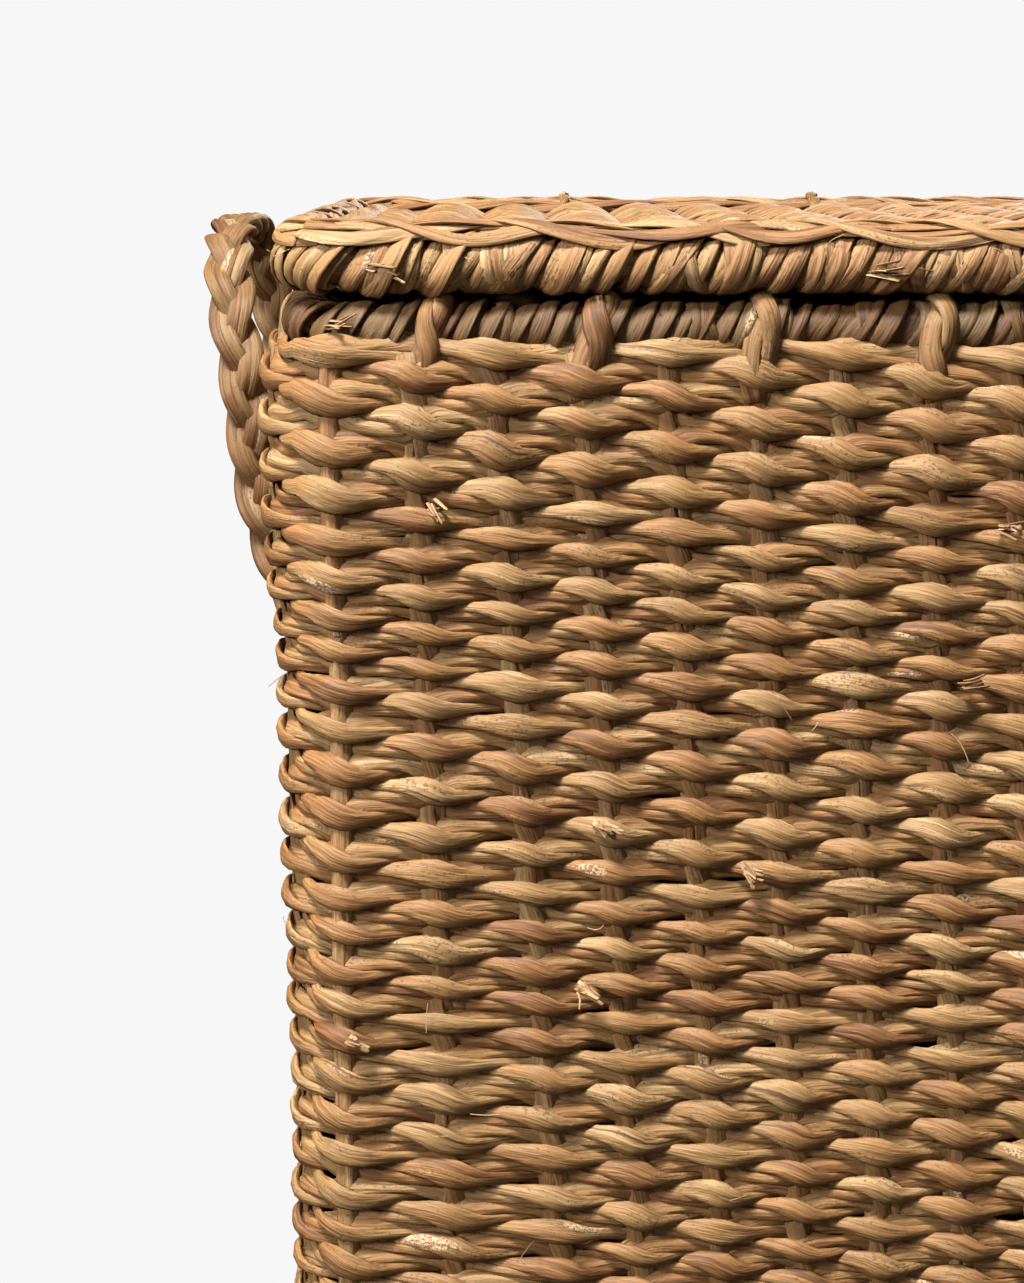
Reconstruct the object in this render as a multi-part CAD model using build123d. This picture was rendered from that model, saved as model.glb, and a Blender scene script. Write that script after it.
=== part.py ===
from build123d import *
import math
import os

# Lidded hamper of twisted seagrass cord woven round upright stakes.
# Millimetres, +Z up.  The origin is on the floor, at the middle of the woven bottom.
# The front faces -Y, the lid's hinge loops are at +Y, and the handles are at -X and +X.

# Driving dimensions
wall_half_x = 216.0          # middle surface of the woven wall
wall_half_y = 156.0
wall_corner_r = 24.0
wall_thick = 14.0
rim_centre_z = 556.0         # axis of the rim rod
ring_inset = 6.0             # the rods' centre line lies this far inside the wall's middle
frame_rod_r = 4.0
rim_wrap_r = 7.5
binding_r = 9.3              # a stake pair bent over the rim
binding_width = 9.0
lid_wrap_r = 9.0
strand_r = 3.0               # the two long strands along the lid's upper edge
strand_angles = (60.0, 95.0)
stake_r = 3.2
post_r = 4.5
front_gaps = 16              # gaps between stakes from one corner post to the next
side_gaps = 11
post_shift = 10.0            # the posts stand this far round from each corner's middle
stake_lean = 42.0            # sideways run of a mid-wall stake from rim to floor
stake_set = 5.0              # and how far back along the wall it starts
base_border_r = 8.0
base_centre_z = 7.5
base_thick = 9.0
lid_thick = 8.0
rib_r = 2.6
rib_pitch = 26.4
band_count = 3               # stages in which the wall is woven
loop_cord_r = 1.7
handle_strand_r = 4.2
handle_top_z = 580.0         # centre line of the plait along the grip
handle_anchor_z = 440.0
handle_anchor_out = 14.0     # centre line beyond the wall's middle at the anchor
handle_top_out = 31.0
handle_corner_r = 45.0
handle_gap_low = 2           # the legs enter the wall in these gaps of a side wall
handle_gap_high = 7
strand_bunch = {"a": (0.0, 5.2), "b": (-4.6, -2.7), "c": (4.6, -2.7)}   # inward, outward
strand_start = 9.5           # the strands leave the lashing this far above its middle
lashing = (15.0, 21.0, 16.0)
lashing_corner_r = 4.0
tail_r = 6.0                 # a leg's tail, through the wall
knot_r = 10.0
knot_thick = 6.2
hinge_gaps = {"right": 3, "middle": 8, "left": 12}      # gaps of the back wall with a loop
notch_depth = 21.0           # how far below the rim's axis a loop can swing through the wall

# Clearances
slip = 0.2                   # between a rod and what is woven round it
lid_gap = 1.0                # between the lid's edge and the rim's bindings
loop_slack = 0.3
beside_loop = 1.3            # either side of a hinge loop's cord
beside_wall = 0.3            # between the wall and what is tied against it

# Values that follow
ring_half_x = wall_half_x - ring_inset
ring_half_y = wall_half_y - ring_inset
ring_corner_r = wall_corner_r - ring_inset
half_arc = math.pi / 4 * wall_corner_r
front_run = 2 * (wall_half_x - wall_corner_r)
side_run = 2 * (wall_half_y - wall_corner_r)
wall_low_z = base_centre_z + base_border_r + 0.7
wall_high_z = rim_centre_z - binding_r - 0.3
lid_centre_z = rim_centre_z + binding_r + lid_gap + lid_wrap_r
lid_pivot_z = lid_centre_z + 3.0
loop_path_r = 12.7 + loop_slack + loop_cord_r
notch_width = 2 * (loop_cord_r + beside_loop)

os.makedirs("parts", exist_ok=True)


def save(name, shapes):
    """Write one node: a list of shapes that don't touch each other."""
    solids = [solid for shape in shapes for solid in shape.solids()]
    export_step(Compound(children=solids), f"parts/{name}.step")


def rod(start, end, radius):
    """Round rod between two points."""
    start, end = Vector(*start), Vector(*end)
    along = end - start
    middle = (start + end) * 0.5
    return Plane(origin=middle, z_dir=along) * Cylinder(radius, along.length)


def ring(half_x, half_y, corner_r, z, radius, bore=0.0):
    """Round rod or tube bent into a rounded rectangle."""
    path = (Pos(0, 0, z) * RectangleRounded(2 * half_x, 2 * half_y, corner_r)).wire()
    section = Circle(radius)
    if bore:
        section -= Circle(bore)
    return sweep(Plane(origin=path @ 0, z_dir=path % 0) * section, path=path)


def slab(half_x, half_y, corner_r, low_z, high_z):
    """Flat panel with rounded corners."""
    outline = RectangleRounded(2 * half_x, 2 * half_y, corner_r)
    return extrude(Pos(0, 0, low_z) * outline, high_z - low_z)


def wall_sides():
    """Each side's start corner centre, its direction, straight length and gap count."""
    cx = wall_half_x - wall_corner_r
    cy = wall_half_y - wall_corner_r
    return {
        "front": ((-cx, -cy), 0, front_run, front_gaps),
        "right": ((cx, -cy), 90, side_run, side_gaps),
        "back": ((cx, cy), 180, front_run, front_gaps),
        "left": ((-cx, cy), 270, side_run, side_gaps),
    }


def wall_point(side, distance):
    """Point on the wall's middle surface, this far along from a corner's middle."""
    (cx, cy), heading, run, _ = wall_sides()[side]
    along = (math.cos(math.radians(heading)), math.sin(math.radians(heading)))
    out = (along[1], -along[0])
    turn = 0.0
    travel = distance - half_arc
    if distance < half_arc:
        turn = (distance - half_arc) / wall_corner_r
        travel = 0.0
    elif travel > run:
        turn = (travel - run) / wall_corner_r
        travel = run
    ahead = travel + wall_corner_r * math.sin(turn)
    aside = wall_corner_r * math.cos(turn)
    return cx + along[0] * ahead + out[0] * aside, cy + along[1] * ahead + out[1] * aside


def stake_distance(side, index, z):
    """How far along its side a stake is at a height; index 0 is the corner post."""
    _, _, run, gaps = wall_sides()[side]
    whole = run + 2 * half_arc
    drop = (rim_centre_z - z) / rim_centre_z
    freedom = min(1.0, index / 2, (gaps - index) / 4)
    return post_shift + index * whole / gaps + freedom * (stake_lean * drop - stake_set)


def stake_rod(side, index, radius, low_z=wall_low_z, high_z=wall_high_z):
    """One stake of the wall, from the foot border to the rim."""
    foot = wall_point(side, stake_distance(side, index, low_z))
    head = wall_point(side, stake_distance(side, index, high_z))
    return rod((*foot, low_z), (*head, high_z), radius)


def stakes(side, radius=stake_r, **reach):
    _, _, _, gaps = wall_sides()[side]
    return [stake_rod(side, index, radius, **reach) for index in range(1, gaps)]


def posts(radius=post_r, **reach):
    return [stake_rod(side, 0, radius, **reach) for side in wall_sides()]


def gap_point(side, gap, z):
    """Point on the wall's middle surface half way between two stakes."""
    low = stake_distance(side, gap, z)
    high = stake_distance(side, gap + 1, z)
    return wall_point(side, (low + high) / 2)


def hinge_places():
    """X of each hinge loop, between stakes of the back wall."""
    return {name: gap_point("back", gap, rim_centre_z)[0] for name, gap in hinge_gaps.items()}


def wall_band(low_z, high_z, cutters):
    """One stage of the wall's weft, with a passage for every stake and post."""
    half = wall_thick / 2
    outer = slab(wall_half_x + half, wall_half_y + half, wall_corner_r + half, low_z, high_z)
    inner = slab(wall_half_x - half, wall_half_y - half, wall_corner_r - half, low_z, high_z)
    return outer - inner - cutters


def stake_passages():
    reach = {"low_z": wall_low_z - 5.0, "high_z": wall_high_z + 5.0}
    passages = [rod_ for side in wall_sides() for rod_ in stakes(side, stake_r + slip, **reach)]
    return passages + posts(post_r + slip, **reach)


def hinge_notches():
    """Slots under the rim in the back wall, where the hinge loops pass and swing."""
    return [
        Pos(x, wall_half_y, rim_centre_z) * Box(notch_width, 2 * wall_thick, 2 * notch_depth)
        for x in hinge_places().values()
    ]


def handle_feet(side):
    """Where a handle's two legs pass through the wall."""
    gaps = (handle_gap_low, handle_gap_high)
    return [gap_point(side, gap, handle_anchor_z) for gap in gaps]


def handle_strand(side, inward, outward):
    """One strand of a plaited handle: up one leg, along the grip and down the other.

    inward is its offset towards the inside of the loop, outward its offset from the wall.
    """
    sign = -1 if side == "left" else 1
    feet = sorted(y for _, y in handle_feet(side))
    middle_y = sum(feet) / 2
    half_width = (feet[1] - feet[0]) / 2 - inward
    rise = handle_top_z - handle_anchor_z
    tilt = math.atan2(handle_top_out - handle_anchor_out, rise)
    height = rise / math.cos(tilt) - inward
    out_dir = Vector(sign * math.cos(tilt), 0, -math.sin(tilt))
    foot = Vector(sign * (wall_half_x + handle_anchor_out), middle_y, handle_anchor_z)
    plane = Plane(origin=foot + out_dir * outward, x_dir=(0, 1, 0), z_dir=out_dir)
    rise_sign = 1 if plane.y_dir.Z > 0 else -1
    points = [
        (-half_width, rise_sign * strand_start),
        (-half_width, rise_sign * height),
        (half_width, rise_sign * height),
        (half_width, rise_sign * strand_start),
    ]
    path = (plane * FilletPolyline(*points, radius=handle_corner_r - inward)).wire()
    return sweep(Plane(origin=path @ 0, z_dir=path % 0) * Circle(handle_strand_r), path=path)


def handle_knots(side):
    """Lashing of each leg: a block outside the wall, a tail through it, a knot inside."""
    sign = -1 if side == "left" else 1
    face = wall_thick / 2 + beside_wall
    knots = []
    for x, y in handle_feet(side):
        block = Pos(x + sign * (face + lashing[0] / 2), y, handle_anchor_z) * Box(*lashing)
        block = fillet(block.edges().filter_by(Axis.Z), lashing_corner_r)
        outside = (x + sign * (face + lashing[0] / 2), y, handle_anchor_z)
        knot_start = (x - sign * face, y, handle_anchor_z)
        knot_end = (x - sign * (face + knot_thick), y, handle_anchor_z)
        knots.append(block + rod(outside, knot_start, tail_r) + rod(knot_start, knot_end, knot_r))
    return knots


def tail_passages():
    face = wall_thick / 2
    passages = []
    for side, sign in (("left", -1), ("right", 1)):
        for x, y in handle_feet(side):
            ends = [(x + sign * reach, y, handle_anchor_z) for reach in (face + 1, -face - 1)]
            passages.append(rod(ends[0], ends[1], tail_r + slip))
    return passages


def rim_bindings():
    """Every second stake bent over the rim: a collar on the rim rod."""
    collars = []
    for side, (_, heading, run, gaps) in wall_sides().items():
        straight_end = half_arc + run - binding_width / 2
        along = Vector(math.cos(math.radians(heading)), math.sin(math.radians(heading)), 0)
        out = Vector(along.Y, -along.X, 0)
        for index in range(1, gaps, 2):
            distance = min(stake_distance(side, index, rim_centre_z), straight_end)
            x, y = wall_point(side, distance)
            centre = Vector(x, y, rim_centre_z) - out * ring_inset
            plane = Plane(origin=centre, z_dir=along)
            collar = Cylinder(binding_r, binding_width)
            collars.append(plane * (collar - Cylinder(rim_wrap_r + 0.05, binding_width)))
    return collars


def rib_places():
    """X of each rib, evenly spaced either side of the middle."""
    count = int((ring_half_x - ring_corner_r) // rib_pitch)
    return [(index + 0.5) * rib_pitch for index in range(-count, count)]


def ribs(half_length, z, radius):
    """Rods along Y that a flat panel is woven on."""
    return [rod((x, -half_length, z), (x, half_length, z), radius) for x in rib_places()]


def woven_panel(edge_r, z, thickness):
    """Weft of a flat panel inside its border, with tunnels for the ribs."""
    inset = edge_r + slip
    half_x = ring_half_x - inset
    half_y = ring_half_y - inset
    corner = ring_corner_r - inset
    panel = slab(half_x, half_y, corner, z - thickness / 2, z + thickness / 2)
    return panel - ribs(half_y + 1, z, rib_r + slip)


def lid_weft():
    """The lid's weft, open where the hinge loops pass behind its edge."""
    reach = loop_path_r + loop_cord_r + 1.0
    notches = [
        Pos(x, ring_half_y - reach / 2, lid_centre_z)
        * Box(notch_width, reach, 3 * lid_thick)
        for x in hinge_places().values()
    ]
    return woven_panel(lid_wrap_r, lid_centre_z, lid_thick) - notches


def lid_strand(angle):
    """Long strand lying along the lid's wrapped edge, at an angle above outwards."""
    distance = lid_wrap_r + strand_r + 0.1
    out = distance * math.cos(math.radians(angle))
    up = distance * math.sin(math.radians(angle))
    return ring(ring_half_x + out, ring_half_y + out, ring_corner_r + out, lid_centre_z + up, strand_r)


def hinge_loop(x):
    """Cord loop round the rim's rear rod and the lid's rear edge."""
    cord = Plane.XZ * Pos(loop_path_r, 0) * Circle(loop_cord_r)
    bend = revolve(cord, Axis.Z, 180)
    loop = Part()
    for z, start in ((rim_centre_z, (0, -1, 0)), (lid_pivot_z, (0, 1, 0))):
        loop += Plane(origin=(x, ring_half_y, z), x_dir=start, z_dir=(1, 0, 0)) * bend
    for y in (ring_half_y - loop_path_r, ring_half_y + loop_path_r):
        loop += rod((x, y, rim_centre_z), (x, y, lid_pivot_z), loop_cord_r)
    return loop


def base_border():
    """Wrapped foot border, flat underneath where it stands on the floor."""
    border = ring(
        ring_half_x, ring_half_y, ring_corner_r, base_centre_z, base_border_r, frame_rod_r + 0.05
    )
    below = Pos(0, 0, -10) * Box(4 * wall_half_x, 4 * wall_half_y, 20)
    return border - below


def save_basket():
    centre_line = (ring_half_x, ring_half_y, ring_corner_r)
    save("base_frame_ring", [ring(*centre_line, base_centre_z, frame_rod_r)])
    save("base_border", [base_border()])
    save("base_ribs", ribs(ring_half_y - base_border_r - slip, base_thick / 2, rib_r))
    save("base_weft", [woven_panel(base_border_r, base_thick / 2, base_thick)])
    save("corner_posts", posts())
    for side in wall_sides():
        save(f"{side}_stakes", stakes(side))
    cutters = stake_passages() + hinge_notches() + tail_passages()
    band_height = (wall_high_z - wall_low_z) / band_count
    for index, name in enumerate(("lower", "middle", "upper")):
        low_z = wall_low_z + index * band_height
        save(f"{name}_wall_weft", [wall_band(low_z, low_z + band_height - 0.3, cutters)])
    save("rim_frame_ring", [ring(*centre_line, rim_centre_z, frame_rod_r)])
    save("rim_wrap", [ring(*centre_line, rim_centre_z, rim_wrap_r, frame_rod_r + 0.05)])
    save("rim_bindings", rim_bindings())
    for side in ("left", "right"):
        for letter, offsets in strand_bunch.items():
            save(f"{side}_handle_strand_{letter}", [handle_strand(side, *offsets)])
        save(f"{side}_handle_knots", handle_knots(side))


def save_lid():
    centre_line = (ring_half_x, ring_half_y, ring_corner_r)
    save("lid_frame_ring", [ring(*centre_line, lid_centre_z, frame_rod_r)])
    save("lid_edge_wrap", [ring(*centre_line, lid_centre_z, lid_wrap_r, frame_rod_r + 0.05)])
    save("lid_border_strands", [lid_strand(angle) for angle in strand_angles])
    save("lid_ribs", ribs(ring_half_y - lid_wrap_r - slip, lid_centre_z, rib_r))
    save("lid_weft", [lid_weft()])


def save_hinges():
    for name, x in hinge_places().items():
        save(f"{name}_hinge_loop", [hinge_loop(x)])


save_basket()
save_hinges()
save_lid()
print("hinge places", hinge_places())
print("handle feet", handle_feet("left"), handle_feet("right"))
print("pivot", ring_half_y, rim_centre_z, lid_pivot_z)
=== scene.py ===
import math

import bpy
import numpy as np
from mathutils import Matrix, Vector


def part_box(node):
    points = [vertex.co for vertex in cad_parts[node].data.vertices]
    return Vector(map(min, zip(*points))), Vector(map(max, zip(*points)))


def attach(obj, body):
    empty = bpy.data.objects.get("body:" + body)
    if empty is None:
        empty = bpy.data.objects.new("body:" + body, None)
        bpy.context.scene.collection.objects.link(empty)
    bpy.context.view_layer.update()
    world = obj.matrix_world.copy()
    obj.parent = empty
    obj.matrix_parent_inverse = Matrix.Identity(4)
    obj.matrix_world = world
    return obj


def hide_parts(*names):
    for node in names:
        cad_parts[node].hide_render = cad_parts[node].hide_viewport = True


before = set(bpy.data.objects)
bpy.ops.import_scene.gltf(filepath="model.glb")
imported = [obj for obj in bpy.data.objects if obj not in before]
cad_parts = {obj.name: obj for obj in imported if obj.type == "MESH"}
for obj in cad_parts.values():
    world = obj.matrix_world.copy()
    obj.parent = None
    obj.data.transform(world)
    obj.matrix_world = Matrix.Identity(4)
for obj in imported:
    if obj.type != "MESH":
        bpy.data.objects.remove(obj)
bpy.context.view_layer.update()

MM = 0.001
TAU = 2 * math.pi
UP = np.array([0.0, 0.0, 1.0])

# -------- sizes read from the frame


def node_box(name):
    """Lowest and highest corner of a CAD node, as arrays in metres."""
    low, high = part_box(name)
    return np.array(low), np.array(high)


def middle_z(name):
    low, high = node_box(name)
    return (low[2] + high[2]) / 2


def top_z(name):
    return node_box(name)[1][2]


BAND_HIGH = node_box("upper_wall_weft")[1]
RIM_ROD_LOW, RIM_ROD_HIGH = node_box("rim_frame_ring")

WALL_THICK = 14 * MM
WALL_X = BAND_HIGH[0] - WALL_THICK / 2
WALL_Y = BAND_HIGH[1] - WALL_THICK / 2
WALL_R = 24 * MM
ROD_R = (RIM_ROD_HIGH[2] - RIM_ROD_LOW[2]) / 2
RING_X = RIM_ROD_HIGH[0] - ROD_R
RING_Y = RIM_ROD_HIGH[1] - ROD_R
RING_R = WALL_R - (WALL_X - RING_X)
RIM_Z = middle_z("rim_frame_ring")
LID_Z = middle_z("lid_frame_ring")
BASE_Z = middle_z("base_frame_ring")
RIM_WRAP_R = top_z("rim_wrap") - RIM_Z
LID_WRAP_R = top_z("lid_edge_wrap") - LID_Z
BASE_WRAP_R = top_z("base_border") - BASE_Z
WALL_LOW_Z = node_box("lower_wall_weft")[0][2]
WALL_HIGH_Z = BAND_HIGH[2]

# The stakes stand as they do in the part: gaps along each side, a shift past each corner's middle,
# and a sideways lean away from the corner posts.
SIDES = ("front", "right", "back", "left")
SIDE_GAPS = {"front": 16, "right": 11, "back": 16, "left": 11}
STAKE_SHIFT = 10 * MM
STAKE_LEAN = 42 * MM
STAKE_SET = 5 * MM

# Twisted cord
PLY_WIDE = 3.25 * MM         # half the width of a flattened leaf ply
PLY_THICK = 1.6 * MM
PLY_RISE = 2.75 * MM         # a ply's centre above or below the cord's centre
PLY_DEPTH = 1.5 * MM
SPREAD = 0.22                # how much wider a ply is where it crosses in front
HURRY = 0.12                 # how much of the turn is bunched where a ply crosses in front
TILT = 0.5                   # how far a ply leans back at the top and bottom of its cord
STAKE_TWIST = 70 * MM        # length of one full turn of a stake's plies
WEAVE_DEPTH = 2.7 * MM       # how far a row passes outside and inside the stakes
FIRST_ROW_DROP = -2.2 * MM   # the top row is tucked under the rim, above the wall band's top
ROW_PITCH = 6.45 * MM
ROW_SWING = 0.85 * MM        # how much wider and narrower the pitch gets down the upper wall
ROW_OVERLAP = 7 * MM
ROWS_IN_PIECE = 9

# The wall swells round the upper part of its front left corner
BULGE = 4.5 * MM
BULGE_DROP = 46 * MM         # from the rim to the fullest part, and its height either way
BULGE_SPREAD = 120 * MM

LID_OVERHANG = 2.2 * MM      # how far the lid's winding sits outside its rod
LID_RAISE = 4 * MM           # the lid's weave lies nearly level with the top of its edge

LOOP_CROWN = 0.76            # how far a hinge loop's round top is pulled down on the lid's edge

# Mesh
RING_STEP = 3.6 * MM
PANEL_STEP = 4.4 * MM
SECTION = 12                 # points round a ply

# -------- paths


class Track:
    """A closed rounded rectangle, measured from the middle of its front left corner."""

    def __init__(self, half_x, half_y, radius, middle_y=0.0):
        self.cx = half_x - radius
        self.cy = half_y - radius
        self.radius = radius
        self.middle_y = middle_y
        self.half_arc = math.pi / 4 * radius
        self.length = 4 * (self.cx + self.cy) + TAU * radius

    def corners(self):
        return ((-self.cx, -self.cy), (self.cx, -self.cy), (self.cx, self.cy), (-self.cx, self.cy))

    def runs(self):
        return (2 * self.cx, 2 * self.cy, 2 * self.cx, 2 * self.cy)

    def side_starts(self):
        """Distance of each side's start, at a corner's middle, and the whole length last."""
        lengths = [run + 2 * self.half_arc for run in self.runs()]
        return np.concatenate([[0.0], np.cumsum(lengths)])

    def at(self, distance):
        """Points, outward normals and tangents at these distances."""
        distance = np.mod(np.asarray(distance, float), self.length)
        starts = self.side_starts()
        side = np.clip(np.searchsorted(starts, distance, side="right") - 1, 0, 3)
        travel = distance - starts[side] - self.half_arc
        run = np.array(self.runs())[side]
        turn = (np.minimum(travel, 0.0) + np.maximum(travel - run, 0.0)) / self.radius
        ahead = np.clip(travel, 0.0, run) + self.radius * np.sin(turn)
        aside = self.radius * np.cos(turn)
        heading = side * math.pi / 2
        corner = np.array(self.corners())[side]
        along = np.stack([np.cos(heading), np.sin(heading)], axis=-1)
        out = np.stack([along[..., 1], -along[..., 0]], axis=-1)
        flat = corner + along * ahead[..., None] + out * aside[..., None]
        flat[..., 1] += self.middle_y
        normal = along * np.sin(turn)[..., None] + out * np.cos(turn)[..., None]
        tangent = np.stack([-normal[..., 1], normal[..., 0]], axis=-1)
        zero = np.zeros(flat.shape[:-1] + (1,))
        return tuple(np.concatenate([part, zero], axis=-1) for part in (flat, normal, tangent))


WALL = Track(WALL_X, WALL_Y, WALL_R)
RING = Track(RING_X, RING_Y, RING_R)
# The lid's winding sits out over its rod in front and at the sides, but not at the hinges.
LID_RING = Track(
    RING_X + LID_OVERHANG,
    RING_Y + LID_OVERHANG / 2,
    RING_R + LID_OVERHANG,
    -LID_OVERHANG / 2,
)


def stake_distances(z):
    """Distance along the wall of every stake at a height, starting with the front left post."""
    starts = WALL.side_starts()
    drop = (RIM_Z - z) / RIM_Z
    places = []
    for side, name in enumerate(SIDES):
        gaps = SIDE_GAPS[name]
        index = np.arange(gaps)
        freedom = np.minimum(1.0, np.minimum(index / 2, (gaps - index) / 4))
        lean = STAKE_LEAN * drop - STAKE_SET
        pitch = (starts[side + 1] - starts[side]) / gaps
        places.append(starts[side] + STAKE_SHIFT + index * pitch + freedom * lean)
    return np.concatenate(places)


STAKE_COUNT = sum(SIDE_GAPS.values())


def stake_count_at(distance, z):
    """Which stake is at each distance, as a smooth number: whole at a stake, a half between two."""
    places = stake_distances(z)
    places = np.concatenate([places + lap * WALL.length for lap in (-1, 0, 1, 2)])
    return np.interp(distance, places, np.arange(-STAKE_COUNT, 3 * STAKE_COUNT))


def wander(rng, distance, step, size):
    """Smooth random drift along a strand, between -size and size."""
    distance = np.asarray(distance, float)
    place = (distance - distance.min()) / step
    knots = rng.uniform(-size, size, int(place.max()) + 3)
    low = np.floor(place).astype(int)
    part = place - low
    part = part * part * (3 - 2 * part)
    return knots[low] * (1 - part) + knots[low + 1] * part


def leaf_tones(rng, distance, leaf_length=330 * MM):
    """A tone from 0 to 1 for each point of a ply, which changes where a new leaf is twisted in."""
    start = distance.min()
    count = int((distance.max() - start) / (0.5 * leaf_length)) + 3
    ends = start + np.cumsum(leaf_length * rng.uniform(0.5, 1.3, count))
    return rng.uniform(0.2, 0.8, count + 1)[np.searchsorted(ends, distance)]


def unit(vectors):
    return vectors / np.linalg.norm(vectors, axis=-1, keepdims=True)


def arc_length(line):
    """Distance of each point of a line from its start."""
    return np.concatenate([[0.0], np.cumsum(np.linalg.norm(np.diff(line, axis=0), axis=1))])


def spokes(normal, angle):
    """Directions round a border's rod: outward at angle 0, and up at a quarter turn."""
    return normal * np.cos(angle)[:, None] + UP * np.sin(angle)[:, None]


def add_object(name, data):
    thing = bpy.data.objects.new(name, data)
    bpy.context.scene.collection.objects.link(thing)
    return thing


# -------- strands into meshes


def section_shape():
    """A flattened leaf's section: rounded faces that meet at two fairly sharp edges."""
    angle = np.arange(SECTION) / SECTION * TAU
    across = np.cos(angle)
    through = np.sign(np.sin(angle)) * np.abs(np.sin(angle)) ** 1.3
    return angle, across, through


class Bundle:
    """Collects strands, and makes them into one mesh piece."""

    def __init__(self):
        self.points = []
        self.leaf = []
        self.tone = []
        self.rings = []

    def strand(self, rng, centre, wide, half_wide, half_thick, tone=None, groove=0.3, pale=0.0):
        """Adds a closed flattened tube along centre, whose width lies along wide.

        tone is a number or an array from 0 to 1, groove the depth of its lengthwise folds, and
        pale how bleached it is.
        """
        centre = np.asarray(centre, float)
        count = len(centre)
        along = arc_length(centre)
        tangent = unit(np.gradient(centre, axis=0))
        wide = np.broadcast_to(wide, centre.shape)
        wide = unit(wide - tangent * np.sum(wide * tangent, axis=1, keepdims=True))
        thick = np.cross(tangent, wide)
        angle, across, through = section_shape()
        half_wide = np.broadcast_to(half_wide, count)
        half_thick = np.broadcast_to(half_thick, count)
        fold = np.zeros((count, SECTION))
        for _ in range(3):
            place = rng.integers(0, SECTION)
            depth = np.clip(wander(rng, along, 34 * MM, 1.0) + 0.25, 0, 1)
            fold[:, place] = np.maximum(fold[:, place], depth)
        swell = 1 + 0.1 * np.cos(3 * angle[None] + wander(rng, along, 30 * MM, 3.0)[:, None])
        radial = swell * (1 - groove * fold)
        x = half_wide[:, None] * across[None] * (1 - 0.25 * groove * fold)
        y = half_thick[:, None] * through[None] * radial
        body = centre[:, None] + wide[:, None] * x[..., None] + thick[:, None] * y[..., None]
        tips = np.stack(
            [
                centre[0] - tangent[0] * half_thick[0] * 0.6,
                centre[-1] + tangent[-1] * half_thick[-1] * 0.6,
            ]
        )
        if tone is None:
            tone = rng.uniform(0, 1)
        tone = np.broadcast_to(tone, count)
        shift = rng.uniform(0, 40)
        leaf = np.stack(
            [np.broadcast_to((along + shift)[:, None], x.shape), x, y + shift * 0.1], axis=-1
        )
        # The fold channel deepens the grooves here and, in the material, darkens them as painted shade.
        looks = np.stack(
            [np.broadcast_to(tone[:, None], x.shape), fold, np.full(x.shape, float(pale))],
            axis=-1,
        )
        self.points.append(np.concatenate([body.reshape(-1, 3), tips]))
        self.leaf.append(np.concatenate([leaf.reshape(-1, 3), leaf[[0, -1], 0]]))
        self.tone.append(np.concatenate([looks.reshape(-1, 3), looks[[0, -1], 0]]))
        self.rings.append(count)

    def faces(self):
        """Corner indices and start of every face: quads along the strands, triangles at their ends."""
        quads, fans = [], []
        base = 0
        around = np.arange(SECTION)
        following = (around + 1) % SECTION
        for count in self.rings:
            ring = base + np.arange(count - 1)[:, None] * SECTION
            corners = [ring + around, ring + following, ring + SECTION + following]
            corners.append(ring + SECTION + around)
            quads.append(np.stack(corners, axis=-1).reshape(-1, 4))
            last = base + (count - 1) * SECTION
            first_tip = base + count * SECTION
            start_fan = np.stack([base + following, base + around, around * 0 + first_tip], -1)
            end_fan = np.stack([last + around, last + following, around * 0 + first_tip + 1], -1)
            fans.append(np.concatenate([start_fan, end_fan]))
            base = first_tip + 2
        return np.concatenate(quads), np.concatenate(fans)

    def uv_corners(self):
        """Lays every strand out flat, cut into strips that fill a square one above another."""
        total = sum(self.rings)
        girth = 15 * MM
        strip = max(8, int(math.sqrt(total * girth / RING_STEP)))
        rows = sum(math.ceil((count - 1) / strip) for count in self.rings)
        around = np.arange(SECTION)
        low_v = 0.06 + 0.88 * around / SECTION
        high_v = 0.06 + 0.88 * (around + 1) / SECTION
        quads, fans = [], []
        row = 0
        for count in self.rings:
            ring = np.arange(count - 1)
            line = (row + ring // strip)[:, None]
            left = 0.01 + 0.98 * (ring % strip)[:, None] / strip + 0 * around
            right = left + 0.98 / strip
            bottom = (line + low_v) / rows
            top = (line + high_v) / rows
            corners = [(left, bottom), (left, top), (right, top), (right, bottom)]
            quads.append(np.stack([np.stack(c, -1) for c in corners], -2).reshape(-1, 2))
            for end in (0, -1):
                edge_low = np.stack([left[end], bottom[end]], -1)
                edge_high = np.stack([left[end], top[end]], -1)
                tip = (edge_low + edge_high) / 2 + np.array([0.3 / strip, 0])
                order = (edge_high, edge_low, tip) if end == 0 else (edge_low, edge_high, tip)
                fans.append(np.stack(order, -2).reshape(-1, 2))
            row += math.ceil((count - 1) / strip)
        return np.concatenate(quads), np.concatenate(fans)

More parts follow.
